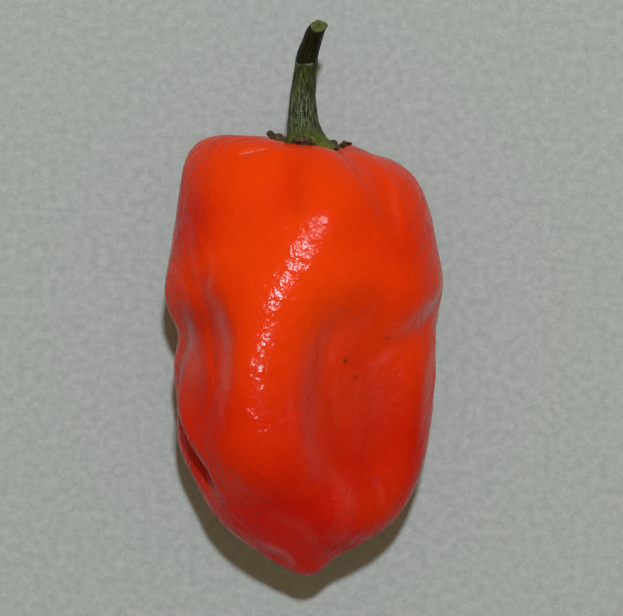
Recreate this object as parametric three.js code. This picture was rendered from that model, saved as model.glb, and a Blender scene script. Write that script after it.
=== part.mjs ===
// A ripe red chilli pepper of the habanero kind, as picked, lying on its side: one blocky, dented pod,
// its green stem, and the dry calyx between them, which is a collar with five withered sepals.
// Millimetres, +Z up. The pod's axis runs along Y with the stem at +Y and the tip at -Y. The origin is
// under the middle of the whole pepper, on the surface that it rests on.
import * as THREE from "three";

// The pod, from the stem's seat (station 0) over the shoulder to the tip (the last station). Each outline
// is the pod's edge on one side, as [distance from the axis, distance from the tip] at every station.
const POD_OUTLINES = {
  right: [
    [0, 49.6], [2.8, 49.8], [5.2, 50.4], [8.1, 50.0], [10.9, 48.6], [13.0, 46.4], [14.4, 42.9],
    [15.4, 38.0], [16.1, 33.6], [15.4, 28.4], [15.6, 22.5], [15.0, 16.2], [13.3, 11.1], [10.4, 6.7],
    [6.5, 4.0], [3.2, 2.3], [1.5, 0.7], [0, 0],
  ],
  top: [
    [0, 49.6], [2.8, 49.9], [5.2, 50.8], [7.5, 50.3], [9.4, 48.7], [10.9, 46.3], [12.1, 42.6],
    [12.9, 38.0], [13.6, 33.4], [14.2, 28.2], [14.6, 22.5], [14.2, 16.2], [12.0, 11.2], [8.5, 6.8],
    [5.5, 4.0], [3.3, 2.2], [1.6, 0.7], [0, 0],
  ],
  left: [
    [0, 49.6], [2.8, 49.9], [5.8, 51.3], [9.4, 52.0], [12.8, 51.3], [14.6, 48.8], [15.3, 44.3],
    [16.2, 38.5], [16.9, 33.4], [15.7, 28.2], [16.2, 22.5], [15.8, 16.2], [13.3, 11.2], [10.5, 6.7],
    [6.6, 3.4], [3.3, 1.4], [1.4, 0.4], [0, 0],
  ],
  under: [
    [0, 49.6], [2.8, 49.7], [5.4, 50.4], [8.4, 50.8], [11.0, 49.8], [12.6, 47.3], [13.2, 43.2],
    [13.5, 38.0], [13.6, 33.4], [13.5, 28.2], [13.3, 22.5], [12.4, 16.2], [10.3, 11.2], [7.4, 6.8],
    [4.4, 3.8], [2.2, 1.9], [1.0, 0.5], [0, 0],
  ],
};
const LAST_STATION = POD_OUTLINES.right.length - 1;
const POD_RINGS = 56;
const POD_SIDES = 84;

// How far under the axis the resting surface lies, and how softly the lobes flatten where they bear on it.
const REST_DEPTH = 13;
const REST_SOFTNESS = 0.5;

// The pod's grooves and dents, and its swellings where depth is negative. Each follows a path of
// [degrees round the axis, station], with 0 degrees at +X and 90 at the top, and fades out over its width.
// A higher flatness gives a flatter floor and steeper walls.
const POD_FOLDS = [
  // The crest and the left shoulder of the middle lobe.
  { width: 4.2, depth: -1.2, path: [[80, 5.9], [93, 6.8], [105, 7.8], [116, 9], [119, 10.3], [114, 11.5]] },
  { width: 3.2, depth: -0.5, path: [[132, 8.2], [129, 9.2], [128, 10.4], [129, 11.2]] },
  // The shallow furrows that part the three upper lobes near the stem.
  { width: 2.2, depth: 0.35, path: [[104, 1.4], [100, 3], [99, 4.4], [101, 5.4]] },
  { width: 1.8, depth: 0.5, path: [[58, 1.6], [50, 3.2], [47, 4.6], [46, 6]] },
  // The great dent beside the middle lobe, the crease at the foot of the lobe's wall, and the wide shelf
  // that runs out of the dent into the right flank.
  { width: 6.7, depth: 3.8, flatness: 3.2, path: [[64.6, 9.3], [52.3, 11.4]] },
  { width: 2.8, depth: 0.7, path: [[79, 10], [77, 11.1], [75, 12.2]] },
  { width: 9, depth: 1.4, path: [[60, 10.3], [26, 10.6]] },
  // The slanting dent in the right flank.
  { width: 2.2, depth: 0.9, path: [[6, 8.4], [18, 8.7], [30, 9.1]] },
  // The foot of the middle lobe's left wall, and the groove along the left flank.
  { width: 2.6, depth: 0.9, path: [[144, 7.9], [142, 8.8], [139, 9.6], [137, 10.3]] },
  { width: 2.2, depth: 0.7, path: [[160, 8.4], [164, 9.2], [170, 10]] },
  // The pinch low on the left flank, and the lip over it.
  { width: 2.7, depth: 2.8, path: [[174, 10.4], [167, 10.9], [161, 11.35], [158, 11.7]] },
  { width: 1.9, depth: -0.7, path: [[160, 10.4], [153, 10.9], [148, 11.4], [146, 11.8]] },
  // The furrow along the underside and the two lobes beside it, on which the pepper lies.
  { width: 3.2, depth: 1.5, path: [[268, 2], [270, 5], [273, 8], [271, 10.5], [268, 13]] },
  { width: 5, depth: -1.4, path: [[244, 4], [241, 7], [243, 10.5]] },
  { width: 5, depth: -1.9, path: [[298, 4], [302, 7], [300, 10.5]] },
  // Dents in the flanks low down.
  { width: 3.4, depth: 1.3, path: [[205, 5.5], [212, 7.5], [208, 9]] },
  { width: 3.2, depth: 1.2, path: [[338, 9], [332, 11], [328, 12.5]] },
];
const ROUND_FLATNESS = 2; // of a fold that states none
const FOLD_SAMPLES = 6; // straight steps that stand for each leg of a fold's path

// The stem's middle line from its foot to its cut end, as [x, distance from the tip, z], and its width
// there. It is cut off at a slant, lower side longer.
const STEM_STATIONS = [
  { at: [0.2, 51.0, 0], width: 5.5 },
  { at: [-0.3, 52.0, 0.02], width: 4.5 },
  { at: [-0.6, 53.2, 0.1], width: 3.8 },
  { at: [-0.75, 54.8, 0.25], width: 3.4 },
  { at: [-0.77, 56.6, 0.5], width: 3.0 },
  { at: [-0.6, 59.3, 1.0], width: 2.75 },
  { at: [-0.2, 61.3, 1.7], width: 2.5 },
  { at: [0.35, 63.1, 2.6], width: 2.4 },
  { at: [0.95, 64.9, 3.6], width: 2.3 },
];
const STEM_RINGS = 22;
const STEM_SIDES = 20;
const STEM_RIBS = { count: 5, height: 0.05 };
const STEM_CUT_SLOPE = 0.7;

// The calyx is a collar round the stem's foot, with withered sepals that lie on the pod. Its pieces follow
// the pod's skin and keep a small clearance from it and from each other.
const CLEARANCE = 0.3;
const COLLAR = { radius: 2.9, points: 5, pointLength: 0.3, thickness: 0.75, rings: 4, sides: 30 };
const SEPALS = [
  { name: "sepal_top", angle: 98, reach: 4.9, width: 2.4, rise: 0.1 },
  { name: "sepal_left", angle: 164, reach: 5.1, width: 2.0, rise: 0.35 },
  { name: "sepal_lower_left", angle: 234, reach: 5.4, width: 2.1, rise: 0.35 },
  { name: "sepal_lower_right", angle: 304, reach: 5.2, width: 2.2, rise: 0.25 },
  { name: "sepal_right", angle: 14, reach: 5.6, width: 1.9, rise: 0.1 },
];
const SEPAL = { thickness: 0.65, rings: 8, sides: 10 };

const MATERIALS = {
  skin: new THREE.MeshStandardMaterial({ color: 0xd63605, roughness: 0.28, metalness: 0 }),
  stem: new THREE.MeshStandardMaterial({ color: 0x3c4420, roughness: 0.6, metalness: 0 }),
  collar: new THREE.MeshStandardMaterial({ color: 0x5d6a25, roughness: 0.65, metalness: 0 }),
  sepal: new THREE.MeshStandardMaterial({ color: 0x5b4632, roughness: 0.8, metalness: 0 }),
};

// One closed skin over a stack of rings with the same number of points each, from a point in the middle
// of the first ring to a point in the middle of the last.
function loft(startPoint, rings, endPoint) {
  const sides = rings[0].length;
  const points = [startPoint, ...rings.flat(), endPoint];
  const at = (ring, side) => 1 + ring * sides + (side % sides);
  const index = [];
  for (let side = 0; side < sides; side++) {
    index.push(0, at(0, side + 1), at(0, side));
    for (let ring = 1; ring < rings.length; ring++) {
      const [a, b] = [at(ring - 1, side), at(ring - 1, side + 1)];
      const [c, d] = [at(ring, side), at(ring, side + 1)];
      index.push(a, d, c, a, b, d);
    }
    index.push(points.length - 1, at(rings.length - 1, side), at(rings.length - 1, side + 1));
  }
  const geometry = new THREE.BufferGeometry().setFromPoints(points);
  geometry.setIndex(index);
  geometry.computeVertexNormals();
  return geometry;
}

const outlineCurve = (points) =>
  new THREE.SplineCurve(points.map(([out, along]) => new THREE.Vector2(out, along)));
const outlines = Object.fromEntries(
  Object.entries(POD_OUTLINES).map(([side, points]) => [side, outlineCurve(points)]),
);

// The pod's skin before its folds: the four outlines, blended smoothly round the axis.
function smoothSkin(angle, station) {
  const share = station / LAST_STATION;
  const right = outlines.right.getPoint(share);
  const top = outlines.top.getPoint(share);
  const left = outlines.left.getPoint(share);
  const under = outlines.under.getPoint(share);
  const blend = (axis) =>
    (right[axis] + top[axis] + left[axis] + under[axis]) / 4 +
    ((right[axis] - left[axis]) / 2) * Math.cos(angle) +
    ((top[axis] - under[axis]) / 2) * Math.sin(angle) +
    ((right[axis] - top[axis] + left[axis] - under[axis]) / 4) * Math.cos(2 * angle);
  return new THREE.Vector3(blend("x") * Math.cos(angle), blend("y"), blend("x") * Math.sin(angle));
}

function skinNormal(angle, station) {
  const step = 0.01;
  const across = smoothSkin(angle + step, station).sub(smoothSkin(angle - step, station));
  const along = smoothSkin(angle, station + step).sub(smoothSkin(angle, station - step));
  return across.cross(along).normalize();
}

const foldPaths = POD_FOLDS.map((fold) => {
  const nodes = fold.path.map(([degrees, station]) =>
    smoothSkin(THREE.MathUtils.degToRad(degrees), station),
  );
  return new THREE.CatmullRomCurve3(nodes).getPoints((nodes.length - 1) * FOLD_SAMPLES);
});

// How far the folds push the skin in at a point.
function foldDepth(point) {
  const nearest = new THREE.Vector3();
  const leg = new THREE.Line3();
  return POD_FOLDS.reduce((depth, fold, number) => {
    const path = foldPaths[number];
    let distance = Infinity;
    for (let step = 1; step < path.length; step++) {
      leg.set(path[step - 1], path[step]).closestPointToPoint(point, true, nearest);
      distance = Math.min(distance, nearest.distanceTo(point));
    }
    const flatness = fold.flatness ?? ROUND_FLATNESS;
    return depth + fold.depth * Math.exp(-((distance / fold.width) ** flatness));
  }, 0);
}

// The height over the resting surface that a point of the skin settles at.
function settled(height) {
  if (height >= REST_SOFTNESS) return height;
  return Math.max(height + REST_SOFTNESS, 0) ** 2 / (4 * REST_SOFTNESS);
}

// A point of the finished skin, or above it by lift.
function podSkin(angle, station, lift = 0) {
  const point = smoothSkin(angle, station);
  const normal = skinNormal(angle, station);
  point.addScaledVector(normal, -foldDepth(point));
  point.z = settled(point.z + REST_DEPTH) - REST_DEPTH;
  return point.addScaledVector(normal, lift);
}

// The station at which the skin lies at a given distance from the axis, inside the shoulder.
function stationAt(angle, distance) {
  let [near, far] = [0, 3];
  for (let halving = 0; halving < 20; halving++) {
    const between = (near + far) / 2;
    const point = smoothSkin(angle, between);
    [near, far] = Math.hypot(point.x, point.z) < distance ? [between, far] : [near, between];
  }
  return near;
}

// A ring of points, one for each of its sides, given by the angle.
const ringOf = (sides, pointAt) =>
  Array.from({ length: sides }, (_, side) => pointAt((side / sides) * 2 * Math.PI));

function makePod() {
  // The left outline spaces the rings evenly along the skin.
  const rings = [];
  for (let ring = 1; ring < POD_RINGS; ring++) {
    const station = outlines.left.getUtoTmapping(ring / POD_RINGS) * LAST_STATION;
    rings.push(ringOf(POD_SIDES, (angle) => podSkin(angle, station)));
  }
  return loft(smoothSkin(0, 0), rings, smoothSkin(0, LAST_STATION));
}

function makeStem() {
  const path = new THREE.CatmullRomCurve3(STEM_STATIONS.map(({ at }) => new THREE.Vector3(...at)));
  const widths = new THREE.SplineCurve(
    STEM_STATIONS.map(({ width }, number) => new THREE.Vector2(number, width)),
  );
  const rings = [];
  for (let ring = 0; ring <= STEM_RINGS; ring++) {
    const share = path.getUtoTmapping(ring / STEM_RINGS);
    const middle = path.getPoint(share);
    const radius = widths.getPoint(share).y / 2;
    const slope = STEM_CUT_SLOPE * (ring / STEM_RINGS) ** 2;
    rings.push(
      ringOf(STEM_SIDES, (angle) => {
        const ribbed = radius * (1 + STEM_RIBS.height * Math.cos(STEM_RIBS.count * angle));
        const [x, z] = [ribbed * Math.cos(angle), ribbed * Math.sin(angle)];
        return new THREE.Vector3(middle.x + x, middle.y - slope * z, middle.z + z);
      }),
    );
  }
  return loft(path.getPoint(1), rings.reverse(), path.getPoint(0));
}

function makeCollar() {
  const edge = (angle) => {
    const pointed = Math.cos(COLLAR.points * (angle - THREE.MathUtils.degToRad(SEPALS[0].angle)));
    return stationAt(angle, COLLAR.radius + COLLAR.pointLength * pointed);
  };
  const rings = [];
  for (let ring = 1; ring <= COLLAR.rings; ring++) {
    const share = ring / COLLAR.rings;
    const lift = CLEARANCE + COLLAR.thickness * (1 - 0.5 * share ** 3);
    rings.push(ringOf(COLLAR.sides, (angle) => podSkin(angle, 0.97 * share * edge(angle), lift)));
  }
  for (let ring = COLLAR.rings; ring >= 1; ring--) {
    const share = ring / COLLAR.rings;
    rings.push(ringOf(COLLAR.sides, (angle) => podSkin(angle, share * edge(angle), CLEARANCE)));
  }
  const seat = smoothSkin(0, 0);
  const upwards = new THREE.Vector3(0, 1, 0);
  return loft(
    seat.clone().addScaledVector(upwards, CLEARANCE + COLLAR.thickness),
    rings,
    seat.clone().addScaledVector(upwards, CLEARANCE),
  );
}

// A sepal is a flat strip that narrows to a blunt end and curls up off the pod.
function makeSepal({ angle, reach, width, rise }) {
  const heading = THREE.MathUtils.degToRad(angle);
  const root = COLLAR.radius + COLLAR.pointLength + CLEARANCE;
  const middleAt = (share) => {
    const lift = CLEARANCE + SEPAL.thickness / 2 + rise * share ** 2;
    return podSkin(heading, stationAt(heading, root + (reach - root) * share), lift);
  };
  const sideways = new THREE.Vector3(-Math.sin(heading), 0, Math.cos(heading));
  const rings = [];
  for (let ring = 0; ring <= SEPAL.rings; ring++) {
    const share = ring / SEPAL.rings;
    const middle = middleAt(share);
    const ahead = middleAt(share + 0.02).sub(middleAt(share - 0.02)).normalize();
    const upwards = ahead.clone().cross(sideways).normalize();
    const halfWidth = (width / 2) * Math.sqrt(1 - 0.8 * share ** 2);
    const halfThickness = (SEPAL.thickness / 2) * (1 - 0.3 * share);
    rings.push(
      ringOf(SEPAL.sides, (turn) =>
        middle
          .clone()
          .addScaledVector(sideways, halfWidth * Math.cos(turn))
          .addScaledVector(upwards, halfThickness * Math.sin(turn)),
      ),
    );
  }
  return loft(middleAt(0), rings, middleAt(1.04));
}

function namedMesh(name, geometry, material) {
  const mesh = new THREE.Mesh(geometry, material);
  mesh.name = name;
  return mesh;
}

const pepper = new THREE.Group();
pepper.add(namedMesh("pod", makePod(), MATERIALS.skin));
pepper.add(namedMesh("stem", makeStem(), MATERIALS.stem));
pepper.add(namedMesh("calyx_collar", makeCollar(), MATERIALS.collar));
for (const sepal of SEPALS) {
  pepper.add(namedMesh(sepal.name, makeSepal(sepal), MATERIALS.sepal));
}

const box = new THREE.Box3().setFromObject(pepper);
const middle = box.getCenter(new THREE.Vector3());
pepper.position.set(-middle.x, -middle.y, -box.min.z);

export default pepper;
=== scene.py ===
# A ripe habanero chilli lying on its side: the waxy, wrinkled pod, its green stem and the dry calyx.
# Sizes in the settings are millimetres. Places on the pepper are (across, along, up): across and up
# count from the pod's axis, along counts from the pod's tip towards the stem.
import math

import bpy
import numpy as np
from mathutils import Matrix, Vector, noise


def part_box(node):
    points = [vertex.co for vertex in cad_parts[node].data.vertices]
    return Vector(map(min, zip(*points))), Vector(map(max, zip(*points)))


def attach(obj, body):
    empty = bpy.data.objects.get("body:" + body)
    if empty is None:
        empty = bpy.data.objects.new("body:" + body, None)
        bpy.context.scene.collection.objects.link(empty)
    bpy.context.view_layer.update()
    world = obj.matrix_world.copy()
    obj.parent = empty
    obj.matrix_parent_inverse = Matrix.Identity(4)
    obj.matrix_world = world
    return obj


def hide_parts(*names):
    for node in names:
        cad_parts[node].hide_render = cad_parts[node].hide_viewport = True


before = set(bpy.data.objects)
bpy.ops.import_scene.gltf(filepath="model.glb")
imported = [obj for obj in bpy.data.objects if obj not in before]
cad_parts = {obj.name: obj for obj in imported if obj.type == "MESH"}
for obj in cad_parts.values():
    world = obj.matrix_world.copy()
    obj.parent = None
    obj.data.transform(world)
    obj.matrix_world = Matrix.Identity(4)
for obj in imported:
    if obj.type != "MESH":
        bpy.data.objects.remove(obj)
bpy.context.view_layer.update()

mm = 0.001


def pickUp(piece):
    bpy.ops.object.select_all(action="DESELECT")
    piece.select_set(True)
    bpy.context.view_layer.objects.active = piece


def copyOf(node, name):
    piece = bpy.data.objects.new(name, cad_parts[node].data.copy())
    piece.data.materials.clear()
    bpy.context.scene.collection.objects.link(piece)
    pickUp(piece)
    bpy.ops.object.mode_set(mode="EDIT")
    bpy.ops.mesh.select_all(action="SELECT")
    bpy.ops.mesh.remove_doubles(threshold=0.001 * mm)
    bpy.ops.mesh.tris_convert_to_quads(face_threshold=math.pi, shape_threshold=math.pi)
    bpy.ops.object.mode_set(mode="OBJECT")
    return piece


def subdivide(piece, levels):
    pickUp(piece)
    modifier = piece.modifiers.new("finer", "SUBSURF")
    modifier.levels = levels
    modifier.render_levels = levels
    bpy.ops.object.modifier_apply(modifier=modifier.name)


def spotsOf(piece):  # the mesh's points, in millimetres
    spots = np.empty(len(piece.data.vertices) * 3)
    piece.data.vertices.foreach_get("co", spots)
    return spots.reshape(-1, 3) / mm


def normalsOf(piece):
    normals = np.empty(len(piece.data.vertices) * 3)
    piece.data.vertices.foreach_get("normal", normals)
    return normals.reshape(-1, 3)


def moveTo(piece, spots):
    piece.data.vertices.foreach_set("co", (spots * mm).ravel())
    piece.data.update()


def paint(piece, name, values):
    layer = piece.data.attributes.new(name, "FLOAT", "POINT")
    layer.data.foreach_set("value", values.astype(np.float32))


def paintFlow(piece, name, places):  # in millimetres
    layer = piece.data.attributes.new(name, "FLOAT_VECTOR", "POINT")
    layer.data.foreach_set("vector", places.astype(np.float32).ravel())


def noiseAt(spots, size, octaves=2, seed=0):  # about -1 to 1, with features of this size
    shift = Vector((17.3, 5.1, -9.7)) * seed
    return np.array([noise.fractal(Vector(s) + shift, 1.0, 2.0, octaves) for s in spots / size])


def smooth(values, low, high):  # 0 at low, 1 at high
    share = np.clip((values - low) / (high - low), 0, 1)
    return share * share * (3 - 2 * share)


def stroke(spots, path, reach):  # how far each spot is from the path, and where along it
    nearest = np.full(len(spots), np.inf)
    along = np.zeros(len(spots))
    legs = np.linalg.norm(np.diff(path, axis=0), axis=1)
    reached = np.concatenate([[0], np.cumsum(legs)]) / legs.sum()
    close = np.flatnonzero(np.all((spots > path.min(0) - reach) & (spots < path.max(0) + reach), axis=1))
    for k, leg in enumerate(legs):
        step = path[k + 1] - path[k]
        share = np.clip((spots[close] - path[k]) @ step / leg**2, 0, 1)
        away = np.linalg.norm(spots[close] - path[k] - share[:, None] * step, axis=1)
        nearer = away < nearest[close]
        nearest[close[nearer]] = away[nearer]
        along[close[nearer]] = (reached[k] + share * (reached[k + 1] - reached[k]))[nearer]
    return nearest, along


def curveThrough(points, steps=8):  # a smooth path through the points
    points = np.array(points, float)
    ends = np.vstack([2 * points[0] - points[1], points, 2 * points[-1] - points[-2]])
    path = []
    for k in range(len(points) - 1):
        a, b, c, d = ends[k:k + 4]
        for t in np.arange(steps) / steps:
            path.append(0.5 * (2 * b + (c - a) * t + (2 * a - 5 * b + 4 * c - d) * t**2
                               + (3 * b - a - 3 * c + d) * t**3))
    path.append(points[-1])
    return np.array(path)


# The pod's tip and axis, which every place counts from.
podBox = np.array(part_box("pod")) / mm
podSpots = spotsOf(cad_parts["pod"])
tip = podSpots[podSpots[:, 1].argmin()]


def setInputs(tree, made, inputs):
    for name, value in inputs.items():
        if isinstance(value, bpy.types.NodeSocket):
            tree.links.new(value, made.inputs[name])
        else:
            made.inputs[name].default_value = value


def node(tree, kind, inputs, **settings):
    made = tree.nodes.new("ShaderNode" + kind)
    for name, value in settings.items():
        setattr(made, name, value)
    setInputs(tree, made, inputs)
    return made.outputs


def attribute(tree, name, output="Fac"):
    return node(tree, "Attribute", {}, attribute_name=name)[output]


def calc(tree, operation, *values, clamp=False):
    return node(tree, "Math", dict(enumerate(values)), operation=operation, use_clamp=clamp)[0]


def vectorCalc(tree, operation, *values):
    return node(tree, "VectorMath", dict(enumerate(values)), operation=operation)[0]


def dot(tree, place, direction):
    return node(tree, "VectorMath", {0: place, 1: tuple(direction)}, operation="DOT_PRODUCT")["Value"]


def blend(tree, share, a, b):
    return node(tree, "Mix", {0: share, 6: a, 7: b}, data_type="RGBA")[2]


def color(red, green, blue):
    return (red, green, blue, 1)


def newMaterial(name):
    material = bpy.data.materials.new(name)
    material.use_nodes = True
    tree = material.node_tree
    return material, tree, tree.nodes["Principled BSDF"]


def newGroup(name, inputs, output):
    group = bpy.data.node_groups.new(name, "ShaderNodeTree")
    group.interface.new_socket("Place", in_out="INPUT", socket_type="NodeSocketVector")
    for title, value in inputs.items():
        socket = group.interface.new_socket(title, in_out="INPUT", socket_type="NodeSocketFloat")
        socket.default_value = value
    group.interface.new_socket(output, in_out="OUTPUT", socket_type="NodeSocketFloat")
    given = group.nodes.new("NodeGroupInput").outputs
    return group, given, group.nodes.new("NodeGroupOutput").inputs[output]


def drawnOut(tree, place, spacing, length):  # the place, measured in spacings across and lengths along
    across = calc(tree, "DIVIDE", 1.0, spacing)
    size = node(tree, "CombineXYZ", {0: across, 1: across, 2: calc(tree, "DIVIDE", 1.0, length)})[0]
    return vectorCalc(tree, "MULTIPLY", place, size)


def makePatches():  # soft uneven tone in patches of the given size, 0 to 1
    group, given, out = newGroup("patches", {"Size": 3.0, "Contrast": 2.0}, "Share")
    scale = calc(group, "DIVIDE", 1.0, given["Size"])
    inputs = {"Vector": given["Place"], "Scale": scale, "Detail": 3.0, "Roughness": 0.55}
    cloud = node(group, "TexNoise", inputs)[0]
    spread = calc(group, "MULTIPLY", calc(group, "SUBTRACT", cloud, 0.5), given["Contrast"])
    group.links.new(calc(group, "ADD", spread, 0.5, clamp=True), out)
    return group


def makeFibres():  # fine strands along the third axis, 1 on a strand
    group, given, out = newGroup("fibres", {"Spacing": 0.3, "Length": 4.0, "Waviness": 0.3}, "Strand")
    straight = drawnOut(group, given["Place"], given["Spacing"], given["Length"])
    sway = node(group, "TexNoise", {"Vector": given["Place"], "Scale": 0.5, "Detail": 2.0})[1]
    wavy = node(group, "VectorMath", {0: sway, "Scale": given["Waviness"]}, operation="SCALE")[0]
    bent = vectorCalc(group, "ADD", straight, wavy)
    lines = node(group, "TexNoise", {"Vector": bent, "Scale": 1.0, "Detail": 3.0, "Roughness": 0.6})[0]
    group.links.new(node(group, "MapRange", {"Value": lines, "From Min": 0.36, "From Max": 0.64})[0], out)
    return group


def makeWrinkles():  # a net of thin creases drawn out along the third axis, 1 on a crease
    group, given, out = newGroup("wrinkles", {"Spacing": 1.0, "Length": 5.0, "Sharpness": 8.0}, "Crease")
    drawn = drawnOut(group, given["Place"], given["Spacing"], given["Length"])
    field = node(group, "TexNoise", {"Vector": drawn, "Scale": 1.0, "Detail": 1.5, "Distortion": 0.7})[0]
    off = calc(group, "ABSOLUTE", calc(group, "SUBTRACT", field, 0.5))
    off = calc(group, "MULTIPLY", off, given["Sharpness"])
    group.links.new(calc(group, "SUBTRACT", 1.0, off, clamp=True), out)
    return group


patches, fibres, wrinkles = makePatches(), makeFibres(), makeWrinkles()


def use(tree, group, inputs):
    made = tree.nodes.new("ShaderNodeGroup")
    made.node_tree = group
    setInputs(tree, made, inputs)
    return made.outputs[0]


def objectPlace(tree):  # object coordinates in millimetres
    place = node(tree, "TexCoord", {})["Object"]
    return node(tree, "VectorMath", {0: place, "Scale": 1 / mm}, operation="SCALE")[0]


def bump(tree, height, depth, before=None):  # depth in millimetres
    inputs = {"Height": height, "Strength": 1.0, "Distance": depth * mm}
    if before:
        inputs["Normal"] = before
    return node(tree, "Bump", inputs)[0]


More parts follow.
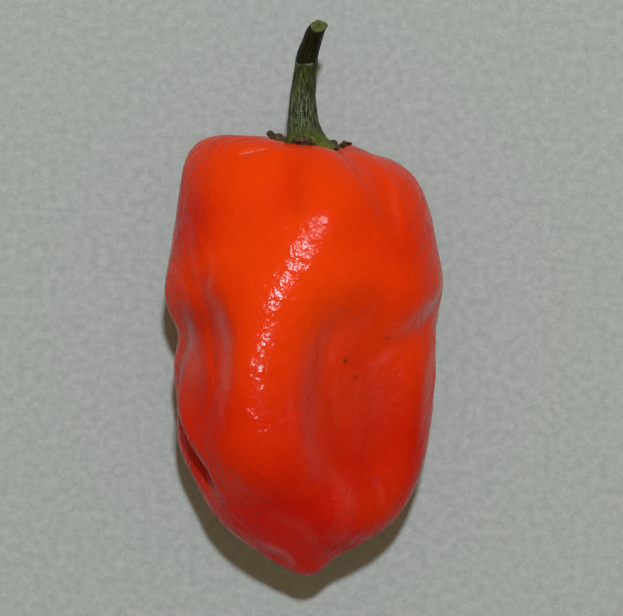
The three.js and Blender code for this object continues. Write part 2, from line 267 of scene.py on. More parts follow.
pod = {
    "levels": 2,
    # creases and swellings of the upper side, seen from above:
    # reach on the left and the right of the path, depth, path of (across, along)
    "folds": [
        # square shoulders: the skin stays nearly level until close to the flanks
        (2.6, 2.6, -0.6, [(-11.5, 46.5), (-12.4, 44), (-12.9, 40), (-13.2, 35)]),
        (2.6, 2.6, -0.6, [(11.3, 44.5), (12.2, 42), (12.8, 38), (13.0, 33)]),
        (2.2, 2.2, -0.7, [(13.0, 27), (12.8, 20), (11.5, 13)]),
        # the crest of the middle lobe, flattened and leaning to the right
        (4.0, 4.0, 0.55, [(1.6, 42.2), (0.9, 40.2), (-0.8, 37.5), (-2.2, 35), (-3.8, 32), (-4.8, 29.5),
                          (-5.2, 27)]),
        (3.0, 3.0, 0.18, [(-3.0, 39), (-5.0, 35.5), (-6.2, 32.5)]),
        (2.0, 2.0, -0.3, [(3.2, 43.5), (2.7, 41), (2.0, 38.2)]),
        (2.0, 2.0, -0.08, [(2.3, 39.8), (1.3, 36.8), (0, 34)]),
        (1.7, 1.7, 0.22, [(-2.4, 28), (-2.7, 24), (-2.9, 20), (-2.7, 16)]),
        (1.4, 1.4, 0.12, [(-8.2, 25), (-8.3, 22), (-8.2, 18)]),
        # the wall on the left of the middle lobe, the ridge at its foot, and the second wall
        (1.2, 1.1, 1.2, [(-11.6, 33.5), (-10.5, 30.5), (-9.9, 27), (-9.9, 23.5), (-10.5, 19.5)]),
        (0.8, 0.8, -0.6, [(-12.3, 29), (-11.6, 25), (-11.5, 22), (-11.9, 18.5)]),
        (0.9, 0.9, 0.5, [(-14.9, 32), (-14.3, 29), (-13.9, 25.5), (-14.0, 23)]),
        (0.45, 0.45, 0.18, [(14.7, 26.7), (14.0, 22), (13.3, 17)]),
        # the walls of the dent
        (1.3, 1.3, 0.9, [(3.4, 30), (1.9, 27), (1.0, 23.2), (0.8, 19.1), (1.4, 14.4), (2.6, 11)]),
        (1.7, 12.0, 0.8, [(16, 31.2), (13.0, 29.2), (10.0, 27.2), (7.2, 25.6)]),
        # the folds at the tip
        (0.6, 0.6, 0.6, [(-5.8, 3.2), (-4.2, 2.8), (-2.9, 2.1), (-2.2, 1.2), (-2.0, 0.5)]),
        (0.5, 0.5, 0.15, [(6.5, 5.0), (4.8, 3.9), (3.3, 3.0)]),
        # the furrows beside the stem, and the crease on the left shoulder
        (0.45, 0.45, 0.35, [(-8.2, 49.2), (-6.5, 49.6), (-4.8, 50.0)]),
        (1.0, 1.0, 0.25, [(-1.3, 50.5), (-1.8, 46), (-2.1, 41)]),
        (0.8, 0.8, 0.25, [(7.6, 49.6), (9.3, 45), (10.2, 39.6)]),
        (0.5, 0.5, 0.12, [(9.8, 48), (11.6, 44), (12.4, 40)]),
    ],
    # where the skin has a waxy sheen: reach, amount, path
    "sheens": [
        (0.8, 1.0, [(-10.9, 33), (-9.9, 30), (-9.4, 27.5), (-9.3, 25), (-9.6, 22), (-10.0, 20)]),
        (1.1, 0.85, [(-15.2, 30), (-13.4, 27), (-13.2, 23.5), (-14.2, 20)]),
        (1.5, 0.8, [(4.5, 31.2), (2.2, 28.6), (1.2, 27.2), (0.3, 23.2), (0.1, 19.1), (0.6, 14.4),
                    (1.8, 12)]),
        (1.1, 0.9, [(16, 33), (13.5, 31.2), (11, 29.4), (8.7, 28)]),
        (0.5, 0.55, [(15, 27.5), (14.2, 24.5), (13.9, 20.5), (13.3, 16.6)]),
        (0.7, 0.4, [(7.7, 31.5), (5, 29.6), (2.8, 27.4)]),
        (1.0, 0.85, [(2.0, 14.1), (3.6, 11.4), (4.6, 9.6), (4.2, 7.4), (3.9, 5.8), (2.8, 4.5)]),
        (0.8, 0.6, [(-4.4, 8.2), (-2.6, 7.2), (-0.5, 6.2), (1.0, 4.2)]),
        (0.45, 0.5, [(7.6, 49.9), (8.9, 48), (9.8, 46), (10.1, 42.7), (10.4, 40)]),
        (0.45, 0.25, [(12, 47.1), (14.2, 43.3), (15.3, 37.3)]),
        (0.3, 1.0, [(-8.0, 49.4), (-6.5, 49.8), (-5.0, 50.2)]),
        (2.5, 0.25, [(6, 25), (6.5, 20), (5, 14)]),
        (0.4, 0.5, [(7.8, 32.8), (6.9, 30.2), (5.5, 28.9), (4.7, 26.1)]),
        (0.5, 0.45, [(12, 27.8), (9.4, 26.4), (7.3, 24.5)]),
        (0.4, 0.5, [(5.9, 23.5), (5.5, 19.8), (6.4, 17.5)]),
        (0.4, 0.45, [(3.2, 25), (3.0, 21), (3.6, 17)]),
        (0.4, 0.5, [(7.3, 12.6), (8.4, 10.4), (8.9, 8.4)]),
        (0.4, 0.6, [(4.2, 9.5), (3.1, 6.7), (2.2, 4.6)]),
        (0.35, 0.6, [(-11.3, 39.5), (-10.9, 36.1), (-11.4, 33.8), (-10.8, 31.5)]),
        (0.4, 0.5, [(-13.9, 42.5), (-13.3, 38.5), (-12.7, 34.9), (-11.9, 31.5)]),
        (0.35, 0.6, [(-15.6, 36.4), (-14.2, 33.8), (-13.6, 31)]),
        (0.35, 0.6, [(-12.7, 27.5), (-13, 24.3), (-13.6, 21.4), (-13, 18.8)]),
        (0.3, 0.8, [(-6.4, 4.6), (-3.6, 3.6), (-2.2, 2.7), (-1.6, 1.2)]),
        (0.35, 0.6, [(-10.1, 23.6), (-9.8, 20.2), (-9.5, 17.4)]),
    ],
    # small dark specks, then wide darker patches, mostly painted shade in the dent, the cavity and on the
    # left flank: across, along, radius, amount
    "specksAndShade": [
        (4.3, 25.6, 0.2, 0.9), (5.5, 23.6, 0.22, 0.4), (9.1, 28.2, 0.35, 0.3), (-1.1, 42.8, 0.5, 0.13),
        (-0.3, 43.1, 0.4, 0.1), (-12.9, 26.9, 0.3, 0.35), (-14.4, 24.1, 0.3, 0.35),
        (-10.1, 23.1, 0.25, 0.3),
        (5.5, 22, 7, 0.22), (-13, 29, 4, 0.25), (8.5, 9, 5, 0.15), (6, 30, 4, 0.1),
        (-12.7, 13.8, 2, 0.15), (-13.3, 22.6, 2.5, 0.15),
    ],
    "pimples": [  # tiny bumps: across, along, radius, height
        (0.2, 40.8, 0.3, 0.09), (-6.1, 41.2, 0.3, 0.09), (-4.9, 40.8, 0.25, 0.08), (12.2, 39.8, 0.3, 0.1),
        (5.5, 23.9, 0.25, 0.08), (-2.4, 44.6, 0.25, 0.06), (3.4, 17.6, 0.25, 0.07), (8.2, 36.9, 0.25, 0.06),
    ],
    "shadeBlushes": [  # deeper red, painted as shade on the flanks, the shoulders, in the dent, the furrow below the stem and at the tip: across, along, radius, amount
        (5.5, 22, 8, 0.2), (10, 17, 7, 0.2), (5.5, 29, 4, 0.1), (10, 41, 6, 0.42), (13, 33, 6, 0.3),
        (-14.5, 42, 5, 0.8), (-13, 31, 5, 0.55), (-13, 20, 6, 0.35), (9, 8, 5, -0.3), (0, 2, 6, 0.35),
        (-0.9, 48.8, 2.2, 0.3), (-2.0, 46.0, 2.0, 0.35), (-2.6, 43.6, 1.8, 0.2),
    ],
    # patches with less shine, with more wrinkles and with none: across, along, radius, amount
    "dull": [(1.2, 41.0, 2.8, 0.8), (4, 20, 8, 0.8), (9, 25, 5, 0.8)],
    "withered": [
        (-14, 46, 3, 0.6), (-14, 38, 4, 0.8), (-13.5, 30, 4, 0.9), (-13, 23, 4, 0.8), (13.5, 31, 3, 0.6),
    ],
    "calm": [(6.5, 19, 6.5, 0.95)],
    "dimples": [(7.0, 50.0, 3.0, 0.5)],  # hollows in the top: across, along, radius, depth
    "topFaces": (0.1, 0.5),  # none and all of a dimple's depth, by how far the skin faces the stem
    "waist": [(28.5, 2.0, 0.45)],  # hollows round the left side: along, width, depth
    # how the wrinkles run: their turn round the pod from either side of its middle, and their wavering
    "flow": {"radius": 14, "middle": 30, "towardsTip": -12, "towardsStem": 16, "turn": 0.028,
             "sway": 0.25, "swaySize": 9, "shiver": 0.1, "shiverSize": 4},
    # how wrinkled the skin is on the flanks, near the tip and in the dent
    "creased": {
        "least": 0.05,
        "flank": (0.45, 0.85),  # all and none, by how level the skin is
        "nearTip": (7, 15),  # all and none, along the pod
        "nearTipShare": 0.45,
        "smoothTip": (0, 6),
        "smoothTipShare": 0.15,
        "dent": {"across": 3.5, "along": 21, "width": 5, "length": 9},
        "dentShare": 0.12,
        "dentCalm": 0.6,
        "evenShare": 0.75,
        "unevenShare": 0.5,
        "unevenSize": 5,
    },
    "foldEnds": 0.02,  # share of its length at which a fold stops fading
    "upperFaces": (0, 0.3),  # none and all of a fold's depth, by how level the skin is
    "bearing": (0.3, 2.0),  # none and all of the wrinkles, by height: what it rests on stays plain
    "wrinkle": 0.075,
    "ridges": {"spacing": 1.7, "drawn": 0.2, "sharpness": 4},
    "crossRidges": {"spacing": 2.3, "drawn": 0.25, "sharpness": 4, "slant": 0.35, "share": 0.7},
    # deep red at the tip, bright further along
    "redTowardsTip": {"from": 2, "to": 36, "unevenness": 3, "size": 12},
    "streaks": {"share": 0.85, "change": 0.5, "size": 1.2, "drawn": 0.3},  # in the sheens
    "finish": {
        "bright": color(0.75, 0.040, 0.0003),
        "deep": color(0.50, 0.005, 0.0002),
        # dark brown of the specks and of the painted shade
        "speckAndShade": color(0.05, 0.012, 0.004),
        # pale pink painted on the shoulder ridge as a glint: painted highlight
        "paintedGlint": color(0.85, 0.27, 0.17),
        "clouds": {"Size": 6.0, "Contrast": 2.0},
        "cloudAmount": 0.24,
        "flecks": {"Size": 0.6, "Contrast": 2.5},
        "fleckAmount": 0.14,
        "peel": {"Scale": 0.85, "Detail": 3.0, "Distortion": 0.3},  # unevenness that breaks up the shine
        "peelDepth": 0.165,
        "pimples": {"spacing": 3.0, "radius": 0.2, "height": 0.06},
        "wideCreases": {"Spacing": 2.0, "Length": 5.5, "Sharpness": 7.0},
        "fineCreases": {"Spacing": 1.0, "Length": 2.4, "Sharpness": 5.0},
        "fineShare": 0.8,
        "creaseDepth": 0.095,
        # the wax of the sheens between the fine creases, how much more on those, and that of all creases
        "waxAndSheen": 0.75,
        "waxOnFine": 0.7,
        "waxOnCreases": 0.05,
        "waxRoughness": 0.42,
        "roughness": 0.16,
        "dullness": 0.15,
        "gloss": 0.1,
        # a thin ridge on the left shoulder, bumped and painted pale along its length as a painted
        # highlight: across and along where it starts and ends, width, height
        "ridge": {"start": (-8.3, 49.3), "end": (-4.6, 50.0), "width": 0.13, "height": 0.08},
        "glintBreaks": {"Size": 0.4, "Contrast": 4.0},
    },
}


def patchesAt(spots, places):  # round soft patches, seen from above
    total = np.zeros(len(spots))
    for across, along, radius, amount in places:
        far = np.hypot(spots[:, 0] - tip[0] - across, spots[:, 1] - tip[1] - along)
        total += amount * np.exp(-((far / radius) ** 2))
    return total


def bandAlong(spots, points, left, right, end=0):  # 1 on the path, fading beside it and at its ends
    path = curveThrough(points) + tip[:2]
    away, run = stroke(spots[:, :2], path, 3 * max(left, right))  # three reaches away it has died out
    path = path[path[:, 1].argsort()]
    onRight = smooth(spots[:, 0] - np.interp(spots[:, 1], path[:, 1], path[:, 0]), -1, 1)
    fade = np.sqrt(np.sin(np.pi * np.clip(run, end, 1 - end)))
    return fade * np.exp(-((away / (left + (right - left) * onRight)) ** 2))


def flowOf(spots, along):  # places that follow the skin: two round the axis, and one along it
    flow = pod["flow"]
    around = np.arctan2(spots[:, 2] - tip[2], spots[:, 0] - tip[0])
    fromMiddle = np.clip(along - flow["middle"], flow["towardsTip"], flow["towardsStem"])
    turn = around + flow["turn"] * fromMiddle * np.cos(around)
    turn += flow["sway"] * noiseAt(spots, flow["swaySize"], 2, seed=3)
    turn += flow["shiver"] * noiseAt(spots, flow["shiverSize"], 1, seed=4)
    return np.stack([np.cos(turn) * flow["radius"], np.sin(turn) * flow["radius"], along], axis=1)


def creasedAt(spots, normals, along):  # how wrinkled the skin is, 0 to 1
    creased, dent = pod["creased"], pod["creased"]["dent"]
    upper = normals[:, 2] > 0
    across = (spots[:, 0] - tip[0] - dent["across"]) / dent["width"]
    inDent = np.exp(-(across**2 + ((along - dent["along"]) / dent["length"]) ** 2)) * upper
    flank = 1 - smooth(normals[:, 2], *creased["flank"])
    nearTip = creased["nearTipShare"] * (1 - smooth(along, *creased["nearTip"]))
    most = np.maximum(np.maximum(flank, nearTip), creased["dentShare"] * inDent)
    share = np.maximum(np.clip(creased["least"] + most, 0, 1), patchesAt(spots, pod["withered"]))
    uneven = noiseAt(spots, creased["unevenSize"], 1, seed=6)
    share *= creased["evenShare"] + creased["unevenShare"] * uneven
    share *= (1 - creased["dentCalm"] * inDent) * (1 - patchesAt(spots, pod["calm"]) * upper)
    least = creased["smoothTipShare"]
    return share * (least + (1 - least) * smooth(along, *creased["smoothTip"]))


def ridgesAt(flow, settings, seed):  # a net of rounded ridges drawn out along the pod, 1 on a ridge
    net = noiseAt(flow * (1, 1, settings["drawn"]), settings["spacing"], 2, seed=seed)
    return np.clip(1 - settings["sharpness"] * np.abs(net), 0, 1)


def makePod():
    piece = copyOf("pod", "pepper_pod")
    subdivide(piece, pod["levels"])
    spots, normals = spotsOf(piece), normalsOf(piece)
    upper = normals[:, 2] > 0
    along = spots[:, 1] - tip[1]
    flow = flowOf(spots, along)
    creased = creasedAt(spots, normals, along)
    slanted = flow + (0, pod["crossRidges"]["slant"], 0) * along[:, None]
    ridges = ridgesAt(flow, pod["ridges"], 5)
    ridges += pod["crossRidges"]["share"] * ridgesAt(slanted, pod["crossRidges"], 7)
    push = pod["wrinkle"] * ridges * creased + patchesAt(spots, pod["pimples"]) * upper
    push -= patchesAt(spots, pod["dimples"]) * smooth(normals[:, 1], *pod["topFaces"])
    for middle, width, depth in pod["waist"]:
        push -= depth * np.clip(-normals[:, 0], 0, 1) * np.exp(-(((along - middle) / width) ** 2))
    drop = np.zeros(len(spots))
    for left, right, depth, points in pod["folds"]:
        drop += depth * bandAlong(spots, points, left, right, pod["foldEnds"])
    spots += normals * (push * smooth(spots[:, 2], *pod["bearing"]))[:, None]
    spots[:, 2] -= drop * smooth(normals[:, 2], *pod["upperFaces"])
    spots = np.clip(spots, *podBox)
    moveTo(piece, spots)
    pickUp(piece)
    bpy.ops.object.shade_smooth()

    redTowardsTip, streaks = pod["redTowardsTip"], pod["streaks"]
    uneven = redTowardsTip["unevenness"] * noiseAt(spots, redTowardsTip["size"], 2, seed=8)
    # deeper red towards the tip, and painted shade from the blushes
    deepRedAndShade = 1 - smooth(along + uneven, redTowardsTip["from"], redTowardsTip["to"]) + patchesAt(spots, pod["shadeBlushes"])
    sheen = np.zeros(len(spots))
    for reach, amount, points in pod["sheens"]:
        sheen = np.maximum(sheen, amount * bandAlong(spots, points, reach, reach))
    streak = streaks["change"] * noiseAt(flow * (1, 1, streaks["drawn"]), streaks["size"], 3, seed=12)
    sheen *= upper * np.clip(streaks["share"] + streak, 0, 1)
    paint(piece, "creased", creased)
    paint(piece, "deepRedAndShade", np.clip(deepRedAndShade, 0, 1))
    paint(piece, "sheen", sheen)
    # dark specks, and painted shade in the dent, the cavity and on the left flank
    paint(piece, "speckAndShade", np.clip(patchesAt(spots, pod["specksAndShade"]) * upper, 0, 1))
    paint(piece, "dull", np.clip(patchesAt(spots, pod["dull"]), 0, 1))
    paintFlow(piece, "flow", flow)
    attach(piece, "root")
    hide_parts("pod")
    piece.data.materials.append(podSkin())


def shoulderRidge(tree, place, ridge):  # 1 on the ridge
    start = Vector((*ridge["start"], 0))
    run = Vector((*ridge["end"], 0)) - start
    lengthwise = run.normalized()
    sideways = Vector((-lengthwise.y, lengthwise.x, 0))
    fromStart = vectorCalc(tree, "SUBTRACT", place, tuple(start + Vector((tip[0], tip[1], 0))))
    far = calc(tree, "ABSOLUTE", dot(tree, fromStart, sideways))
    line = calc(tree, "SUBTRACT", 1.0, calc(tree, "DIVIDE", far, ridge["width"]), clamp=True)
    share = dot(tree, fromStart, lengthwise / run.length)
    swell = calc(tree, "MULTIPLY", share, calc(tree, "SUBTRACT", 1.0, share))
    fade = calc(tree, "MULTIPLY", swell, 4.0, clamp=True)  # 1 at the middle of its length
    above = calc(tree, "GREATER_THAN", node(tree, "SeparateXYZ", {0: place})[2], float(tip[2]))
    return calc(tree, "MULTIPLY", calc(tree, "MULTIPLY", line, fade), above)


def podSkin():
    finish = pod["finish"]
    material, tree, shader = newMaterial("waxy_red_skin")
    place = objectPlace(tree)
    flow = attribute(tree, "flow", "Vector")
    cloud = use(tree, patches, {"Place": place, **finish["clouds"]})
    fleck = use(tree, patches, {"Place": place, **finish["flecks"]})
    middle = -(finish["cloudAmount"] + finish["fleckAmount"]) / 2
    uneven = calc(tree, "MULTIPLY_ADD", fleck, finish["fleckAmount"], middle)
    uneven = calc(tree, "MULTIPLY_ADD", cloud, finish["cloudAmount"], uneven)
    # bright orange to deep red, by the red towards the tip and the painted shade
    deepRedAndShade = calc(tree, "ADD", attribute(tree, "deepRedAndShade"), uneven, clamp=True)
    skin = blend(tree, deepRedAndShade, finish["bright"], finish["deep"])
    # darkened by the specks and by painted shade
    skin = blend(tree, attribute(tree, "speckAndShade"), skin, finish["speckAndShade"])
    ridge = shoulderRidge(tree, place, finish["ridge"])
    broken = use(tree, patches, {"Place": place, **finish["glintBreaks"]})
    # the ridge painted pale as a glint: painted highlight, broken into beads
    skin = blend(tree, calc(tree, "MULTIPLY", ridge, broken), skin, finish["paintedGlint"])
    tree.links.new(skin, shader.inputs["Base Color"])

    peel = node(tree, "TexNoise", {"Vector": place, **finish["peel"]})[0]
    normal = bump(tree, peel, finish["peelDepth"])
    normal = bump(tree, ridge, finish["ridge"]["height"], normal)
    pimples = finish["pimples"]
    far = node(tree, "TexVoronoi", {"Vector": place, "Scale": 1 / pimples["spacing"]})["Distance"]
    far = calc(tree, "MULTIPLY", far, pimples["spacing"] / pimples["radius"])
    normal = bump(tree, calc(tree, "SUBTRACT", 1.0, far, clamp=True), pimples["height"], normal)
    wide = use(tree, wrinkles, {"Place": flow, **finish["wideCreases"]})
    fine = use(tree, wrinkles, {"Place": flow, **finish["fineCreases"]})
    both = calc(tree, "MULTIPLY_ADD", fine, finish["fineShare"], wide)
    both = calc(tree, "MULTIPLY", both, attribute(tree, "creased"))
    tree.links.new(bump(tree, both, finish["creaseDepth"], normal), shader.inputs["Normal"])

    waxAndSheen = calc(tree, "MULTIPLY_ADD", fine, finish["waxOnFine"], finish["waxAndSheen"])
    waxAndSheen = calc(tree, "MULTIPLY", attribute(tree, "sheen"), waxAndSheen)
    waxAndSheen = calc(tree, "MULTIPLY_ADD", both, finish["waxOnCreases"], waxAndSheen, clamp=True)
    tree.links.new(waxAndSheen, shader.inputs["Coat Weight"])
    rough = calc(tree, "MULTIPLY_ADD", attribute(tree, "dull"), finish["dullness"], finish["roughness"])
    tree.links.new(rough, shader.inputs["Roughness"])
    shader.inputs["Coat Roughness"].default_value = finish["waxRoughness"]
    shader.inputs["Specular IOR Level"].default_value = finish["gloss"]
    return material


stem = {
    "sides": 24,
    # middle line from the foot to the cut end, and the width there: across, along, up, width
    "sections": [
        (0.55, 50.0, -0.1, 7.0),
        (0.35, 50.7, -0.05, 6.1),
        (-0.05, 51.4, 0, 5.0),
        (-0.35, 52.2, 0.02, 4.35),
        (-0.6, 53.2, 0.1, 3.8),
        (-0.66, 54.8, 0.25, 3.35),
        (-0.65, 56.6, 0.5, 3.0),
        (-0.4, 59.3, 1.0, 2.7),
        (-0.18, 60.5, 1.35, 2.64),
        (0.0, 61.3, 1.7, 2.52),
        (0.6, 63.1, 2.6, 2.26),
        (1.2, 64.5, 3.5, 1.95),
    ],
    # the rim, the step and the core of the cut face: width and depth
    "insets": [(0.06, 0), (0.1, -0.07), (0.45, -0.02)],
    "cutSlope": 0.9,  # reached between these two places along the stem
    "slopeFrom": 56,
    "slopeTo": 65,
    "levels": 3,
    "sortFrom": (37, 61, -23),  # its points are put in order by how far they are from here
    "cutFrom": 64,  # the cut face lies past here, and faces along the stem by this much
    "cutFacing": (0.55, 0.75),
    "radius": 1.5,  # the fibres are spaced as on a stem of this radius
    "fibre": 0.055,
    "fibres": {"size": 0.32, "drawn": 0.14},
    "ribs": {"count": 5, "turn": 0.6, "height": 0.05},
    "lumps": {"size": 1.8, "height": 0.07},
    # the ring that a scar leaves, past which the stem is smoother and thinner
    "scar": {"along": 60.65, "wave": 0.12, "width": 0.1, "height": 0.05,
             "thinner": 0.04, "smoother": 0.5},
    # the torn far rim of the cut: where it is beside the middle line, and how far it stands out
    "torn": {"across": 0.85, "up": -0.2, "width": 0.3, "height": 0.45, "along": (64.1, 64.5),
             "move": (0.2, 0.1, 0.1)},
    "ragged": {"size": 0.35, "height": 0.12, "along": (64.0, 64.5), "up": (-0.2, 0.6)},
    "foot": (50.9, 53.2),  # where its green ends
    # the band where pale flecks are painted as glints
    "glintBand": {"along": 54.8, "length": 2.6},
    "finish": {
        "dark": color(0.003, 0.006, 0.001),
        "light": color(0.17, 0.21, 0.06),
        "bark": color(0.003, 0.0026, 0.0004),
        "barkLight": color(0.036, 0.03, 0.006),
        # pale flecks painted as glints
        "waxAndSheen": color(0.26, 0.32, 0.22),
        "foot": color(0.15, 0.17, 0.012),
        "scar": color(0.2, 0.25, 0.17),
        "cut": color(0.085, 0.105, 0.025),
        "cutLight": color(0.2, 0.21, 0.06),
        "coarseFibres": {"Spacing": 0.12, "Length": 1.4, "Waviness": 0.8},
        "fineFibres": {"Spacing": 0.05, "Length": 0.7, "Waviness": 0.8},
        "fineShare": 0.5,
        "fibreDepth": 0.07,
        "glintFlecks": {"Size": 0.16, "Contrast": 9.0},
        "footClouds": {"Size": 0.9, "Contrast": 3.0},
        "scarBreaks": {"Size": 0.35, "Contrast": 5.0},
        "pith": {"Size": 0.25, "Contrast": 3.0},
        "roughness": (0.6, 0.32),  # between the fibres and on them
        "gloss": 0.1,
    },
}


def makeStem():
    sections = stem["sections"]
    bpy.ops.object.select_all(action="DESELECT")
    bpy.ops.mesh.primitive_circle_add(
        vertices=stem["sides"], radius=sections[0][3] / 2 * mm, fill_type="NGON",
        location=Vector(tip + sections[0][:3]) * mm, rotation=(math.pi / 2, 0, 0),
    )
    piece = bpy.context.object
    piece.name = "pepper_stem"
    bpy.ops.object.transform_apply(location=True, rotation=True, scale=True)
    bpy.ops.object.mode_set(mode="EDIT")
    bpy.ops.mesh.select_all(action="SELECT")
    for before, after in zip(sections, sections[1:]):
        step = Vector(after[:3]) - Vector(before[:3])
        bpy.ops.mesh.extrude_region_move(TRANSFORM_OT_translate={"value": step * mm})
        narrower = after[3] / before[3]
        bpy.ops.transform.resize(
            value=(narrower, 1, narrower), center_override=Vector(tip + after[:3]) * mm
        )
    for thickness, depth in stem["insets"]:
        bpy.ops.mesh.inset(thickness=thickness * mm, depth=depth * mm, use_boundary=True)
    bpy.ops.mesh.select_all(action="SELECT")
    bpy.ops.mesh.normals_make_consistent(inside=False)
    # extrude numbers its faces differently from run to run, so they are put in order
    bpy.context.scene.cursor.location = Vector(stem["sortFrom"]) * mm
    bpy.ops.mesh.sort_elements(type="CURSOR_DISTANCE", elements={"VERT", "EDGE", "FACE"})
    bpy.context.scene.cursor.location = (0, 0, 0)
    bpy.ops.object.mode_set(mode="OBJECT")
    spots = spotsOf(piece)
    share = smooth(spots[:, 1] - tip[1], stem["slopeFrom"], stem["slopeTo"])
    spots[:, 1] -= stem["cutSlope"] * share * (spots[:, 2] - tip[2] - sections[-1][2] * share)
    moveTo(piece, spots)
    subdivide(piece, stem["levels"])

    spots, normals = spotsOf(piece), normalsOf(piece)
    line = curveThrough(sections, 6)[:, :3] + tip
    off = spots - line[((spots[:, None, 1] - line[None, :, 1]) ** 2).argmin(1)]
    around = np.arctan2(off[:, 2], off[:, 0])
    along = spots[:, 1] - tip[1]
    along += stem["cutSlope"] * smooth(along, stem["slopeFrom"], stem["slopeTo"]) * off[:, 2]
    flow = np.stack([np.cos(around) * stem["radius"], np.sin(around) * stem["radius"], along], axis=1)
    end = smooth(normals[:, 1], *stem["cutFacing"]) * (along > stem["cutFrom"])  # 1 on the cut face

    ribs, lumps, scar = stem["ribs"], stem["lumps"], stem["scar"]
    strands = noiseAt(flow * (1, 1, stem["fibres"]["drawn"]), stem["fibres"]["size"], 3, seed=2)
    onScar = along - scar["along"] - scar["wave"] * np.sin(2 * around)
    onScar = np.exp(-((onScar / scar["width"]) ** 2))
    young = smooth(along, scar["along"] - scar["width"], scar["along"] + scar["width"])  # 1 past the scar
    push = stem["fibre"] * strands * (1 - scar["smoother"] * young)
    push += ribs["height"] * np.cos(ribs["count"] * around + ribs["turn"])
    push += lumps["height"] * noiseAt(spots, lumps["size"], 2, seed=4)
    push += scar["height"] * onScar - scar["thinner"] * young
    spots += normals * (push * (1 - end))[:, None]

    torn, ragged = stem["torn"], stem["ragged"]
    across = (off[:, 0] - torn["across"]) / torn["width"]
    up = (off[:, 2] - torn["up"]) / torn["height"]
    onTear = np.exp(-(across**2 + up**2)) * smooth(along, *torn["along"])
    spots += np.array(torn["move"]) * onTear[:, None]
    rough = noiseAt(spots, ragged["size"], 2, seed=9) * smooth(along, *ragged["along"])
    spots[:, 1] += ragged["height"] * rough * smooth(off[:, 1], *ragged["up"])
    moveTo(piece, spots)
    pickUp(piece)
    bpy.ops.object.shade_smooth()
    paint(piece, "cut", end)
    paint(piece, "young", young)
    paint(piece, "scar", onScar * (1 - end))
    paint(piece, "foot", 1 - smooth(along, *stem["foot"]))
    paint(piece, "glintBand", np.exp(-(((along - stem["glintBand"]["along"]) / stem["glintBand"]["length"]) ** 2)))
    paintFlow(piece, "flow", flow)
    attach(piece, "root")
    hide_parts("stem")
    piece.data.materials.append(stemBark())


def stemBark():
    finish = stem["finish"]
    material, tree, shader = newMaterial("green_stem")
    flow = attribute(tree, "flow", "Vector")
    place = objectPlace(tree)
    coarse = use(tree, fibres, {"Place": flow, **finish["coarseFibres"]})
    fine = use(tree, fibres, {"Place": flow, **finish["fineFibres"]})
    strands = calc(tree, "MULTIPLY", coarse, fine)
    green = blend(tree, strands, finish["dark"], finish["light"])
    upper = blend(tree, strands, finish["bark"], finish["barkLight"])
    tone = blend(tree, attribute(tree, "young"), green, upper)
    # pale flecks on the fibres, painted as glints: painted highlight
    flecks = use(tree, patches, {"Place": place, **finish["glintFlecks"]})
    flecks = calc(tree, "MULTIPLY", calc(tree, "MULTIPLY", flecks, strands), attribute(tree, "glintBand"))
    tone = blend(tree, flecks, tone, finish["waxAndSheen"])
    cloud = use(tree, patches, {"Place": place, **finish["footClouds"]})
    tone = blend(tree, calc(tree, "MULTIPLY", attribute(tree, "foot"), cloud), tone, finish["foot"])
    broken = use(tree, patches, {"Place": place, **finish["scarBreaks"]})
    tone = blend(tree, calc(tree, "MULTIPLY", attribute(tree, "scar"), broken), tone, finish["scar"])
    pith = use(tree, patches, {"Place": place, **finish["pith"]})
    flesh = blend(tree, pith, finish["cut"], finish["cutLight"])
    tree.links.new(blend(tree, attribute(tree, "cut"), tone, flesh), shader.inputs["Base Color"])
    between, on = finish["roughness"]
    rough = node(tree, "MapRange", {"Value": fine, "To Min": between, "To Max": on})[0]
    tree.links.new(rough, shader.inputs["Roughness"])
    height = calc(tree, "MULTIPLY_ADD", fine, finish["fineShare"], coarse)
    tree.links.new(bump(tree, height, finish["fibreDepth"]), shader.inputs["Normal"])
    shader.inputs["Specular IOR Level"].default_value = finish["gloss"]
    return material


calyx = {
    "collarLevels": 2,
    "collarLumps": {"size": 0.8, "height": 0.14, "facing": (-0.6, 0.2)},
    "collarDry": (2.0, 3.2),  # fresh and dry, by the distance from the axis
    "sepalLevels": 3,
    # how much each sepal swells and crumples as it withers, the knob at its end, and its spread
    "sepals": {
        "sepal_top": (0.05, 0.22, 0.12, 0.22),
        "sepal_left": (0.3, 0.4, -0.3, 0.0),
        "sepal_lower_left": (0.15, 0.35, 0.1, 0.0),
        "sepal_lower_right": (0.15, 0.35, 0.1, 0.0),
        "sepal_right": (-0.1, 0.32, -0.1, -0.15),
    },
    "knobAt": 0.85,
    "knobLength": 0.2,
    "dryFoot": 0.4,  # how dry a sepal is at the stem, and how much drier at its end
    "drier": 0.8,
    "creaseSize": 0.7,
    "waveSize": 1.3,
    "wave": 0.35,
    "finish": {
        "fresh": color(0.11, 0.12, 0.012),
        "dry": color(0.06, 0.028, 0.012),
        "pale": color(0.17, 0.09, 0.07),
        "dark": color(0.012, 0.008, 0.003),
        "collarDryness": 0.35,
        "sepalDryness": 0.9,
        "clouds": {"Size": 0.8, "Contrast": 3.0},
        "cloudAmount": 0.6,
        "darkSpots": {"Size": 0.35, "Contrast": 5.0},
        "darkAmount": 0.7,
        "paleSpots": {"Size": 0.22, "Contrast": 6.0},
        "paleAmount": 0.35,
        "grain": {"Scale": 5.0, "Detail": 4.0, "Roughness": 0.65},
        "grainDepth": 0.12,
        "roughness": 0.55,
        "gloss": 0.2,
    },
}


def finishCalyx(piece, replaced, material):
    pickUp(piece)
    bpy.ops.object.shade_smooth()
    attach(piece, "root")
    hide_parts(replaced)
    piece.data.materials.append(material)


def fromAxis(spots):
    return np.hypot(spots[:, 0] - tip[0], spots[:, 2] - tip[2])


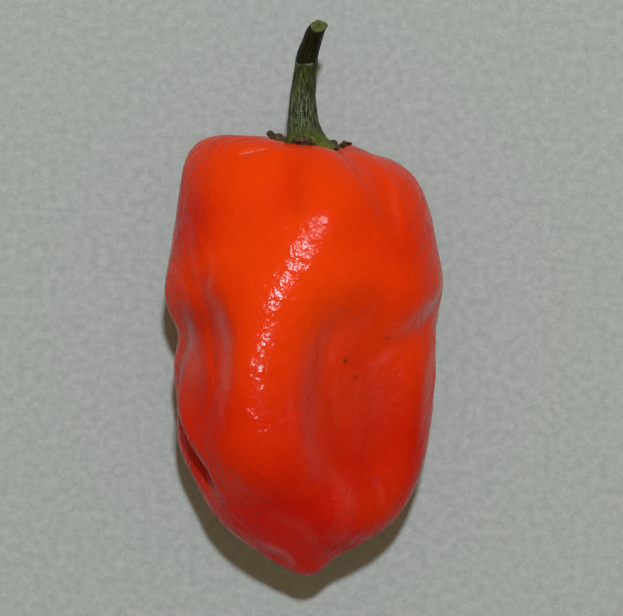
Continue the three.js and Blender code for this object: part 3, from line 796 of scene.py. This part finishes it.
def makeCollar():
    piece = copyOf("calyx_collar", "pepper_collar")
    subdivide(piece, calyx["collarLevels"])
    spots, normals = spotsOf(piece), normalsOf(piece)
    dry = smooth(fromAxis(spots), *calyx["collarDry"])
    lumps = calyx["collarLumps"]
    push = lumps["height"] * noiseAt(spots, lumps["size"], 3, seed=6)
    spots += normals * (push * smooth(normals[:, 1], *lumps["facing"]))[:, None]
    moveTo(piece, spots)
    paint(piece, "dry", dry)
    fresh = calyxSkin("calyx_flesh", calyx["finish"]["collarDryness"])
    finishCalyx(piece, "calyx_collar", fresh)


def makeSepals():
    withered = calyxSkin("withered_sepal", calyx["finish"]["sepalDryness"])
    for number, (name, (swell, crumple, knob, spread)) in enumerate(calyx["sepals"].items()):
        piece = copyOf(name, "pepper_" + name)
        subdivide(piece, calyx["sepalLevels"])
        spots, normals = spotsOf(piece), normalsOf(piece)
        outside = fromAxis(spots)
        share = (outside - outside.min()) / (outside.max() - outside.min())  # 0 at the stem, 1 at the end
        creases = noiseAt(spots, calyx["creaseSize"], 4, seed=10 + number)
        wave = noiseAt(spots, calyx["waveSize"], 1, seed=20 + number)
        onKnob = np.exp(-(((share - calyx["knobAt"]) / calyx["knobLength"]) ** 2))
        push = swell + crumple * creases + knob * onKnob
        spots += normals * push[:, None]
        spots[:, 1] += calyx["wave"] * wave + swell
        spots[:, 0] += spread * (spots[:, 0] - spots[:, 0].mean())
        moveTo(piece, spots)
        paint(piece, "dry", np.clip(calyx["dryFoot"] + calyx["drier"] * share, 0, 1))
        finishCalyx(piece, name, withered)


def calyxSkin(name, dryness):
    finish = calyx["finish"]
    material, tree, shader = newMaterial(name)
    place = objectPlace(tree)
    cloud = use(tree, patches, {"Place": place, **finish["clouds"]})
    uneven = calc(tree, "MULTIPLY_ADD", cloud, finish["cloudAmount"], -finish["cloudAmount"] / 2)
    dry = calc(tree, "MULTIPLY_ADD", attribute(tree, "dry"), dryness, uneven, clamp=True)
    tone = blend(tree, dry, finish["fresh"], finish["dry"])
    dark = use(tree, patches, {"Place": place, **finish["darkSpots"]})
    tone = blend(tree, calc(tree, "MULTIPLY", dark, finish["darkAmount"]), tone, finish["dark"])
    pale = use(tree, patches, {"Place": place, **finish["paleSpots"]})
    tone = blend(tree, calc(tree, "MULTIPLY", pale, finish["paleAmount"]), tone, finish["pale"])
    tree.links.new(tone, shader.inputs["Base Color"])
    grain = node(tree, "TexNoise", {"Vector": place, **finish["grain"]})[0]
    tree.links.new(bump(tree, grain, finish["grainDepth"]), shader.inputs["Normal"])
    shader.inputs["Roughness"].default_value = finish["roughness"]
    shader.inputs["Specular IOR Level"].default_value = finish["gloss"]
    return material


room = {
    "floorSize": 3000,
    "floor": color(0.4175, 0.4415, 0.4185),
    "floorDark": color(0.2675, 0.2915, 0.2785),
    "clouds": {"Size": 1.0, "Contrast": 2.5},
    "grain": {"Size": 0.22, "Contrast": 2.5},
    "cloudShare": 0.5,
    "floorRoughness": 0.85,
    "floorGloss": 0.2,
    "lampPlace": (26, 167, 640),
    "lampAim": (0, 0, 14),
    "lampSize": 30,
    "lampPower": 3.48,
    "lampColor": (0.92, 1.0, 1.09),
    "fill": 0.3,
    "fillColor": color(1, 0.80, 0.48),
    "cameraPlace": (0.41, 31.65, 380),  # across and along from the pod's tip, and height over the floor
    "viewWidth": 73.3,
    "viewHeight": 13.4,  # above the floor, where the view is that wide
    "sensorWidth": 36,
    "nearest": 10,  # what is closer to the camera isn't seen
}


def makeFloor():
    bpy.ops.object.select_all(action="DESELECT")
    bpy.ops.mesh.primitive_plane_add(size=room["floorSize"] * mm, location=(0, 0, 0))
    floor = bpy.context.object
    floor.name = "floor"
    paper, tree, shader = newMaterial("pale_paper")
    place = objectPlace(tree)
    cloud = use(tree, patches, {"Place": place, **room["clouds"]})
    grain = use(tree, patches, {"Place": place, **room["grain"]})
    both = calc(tree, "MULTIPLY", grain, 1 - room["cloudShare"])
    both = calc(tree, "MULTIPLY_ADD", cloud, room["cloudShare"], both)
    tree.links.new(blend(tree, both, room["floor"], room["floorDark"]), shader.inputs["Base Color"])
    shader.inputs["Roughness"].default_value = room["floorRoughness"]
    shader.inputs["Specular IOR Level"].default_value = room["floorGloss"]
    floor.data.materials.append(paper)


def makeLight():
    lamp = bpy.data.lights.new("softbox", "AREA")
    lamp.size = room["lampSize"] * mm
    lamp.energy = room["lampPower"]
    lamp.color = room["lampColor"]
    holder = bpy.data.objects.new("softbox", lamp)
    bpy.context.scene.collection.objects.link(holder)
    holder.location = Vector(room["lampPlace"]) * mm
    away = holder.location - Vector(room["lampAim"]) * mm
    holder.rotation_euler = away.to_track_quat("Z", "Y").to_euler()
    world = bpy.data.worlds.new("room")
    bpy.context.scene.world = world
    world.use_nodes = True
    sky = world.node_tree.nodes["Background"]
    sky.inputs["Color"].default_value = room["fillColor"]
    sky.inputs["Strength"].default_value = room["fill"]


def makeCamera():
    camera = bpy.data.cameras.new("camera")
    stand = bpy.data.objects.new("camera", camera)
    bpy.context.scene.collection.objects.link(stand)
    stand.location = Vector((tip[0], tip[1], 0) + np.array(room["cameraPlace"])) * mm
    camera.clip_start = room["nearest"] * mm
    camera.sensor_width = room["sensorWidth"]
    distance = room["cameraPlace"][2] - room["viewHeight"]
    camera.lens = camera.sensor_width * distance / room["viewWidth"]
    bpy.context.scene.camera = stand
    bpy.context.scene.view_settings.view_transform = "Standard"


print("pod")
makePod()
print("stem")
makeStem()
print("calyx")
makeCollar()
makeSepals()
print("room")
makeFloor()
makeLight()
makeCamera()
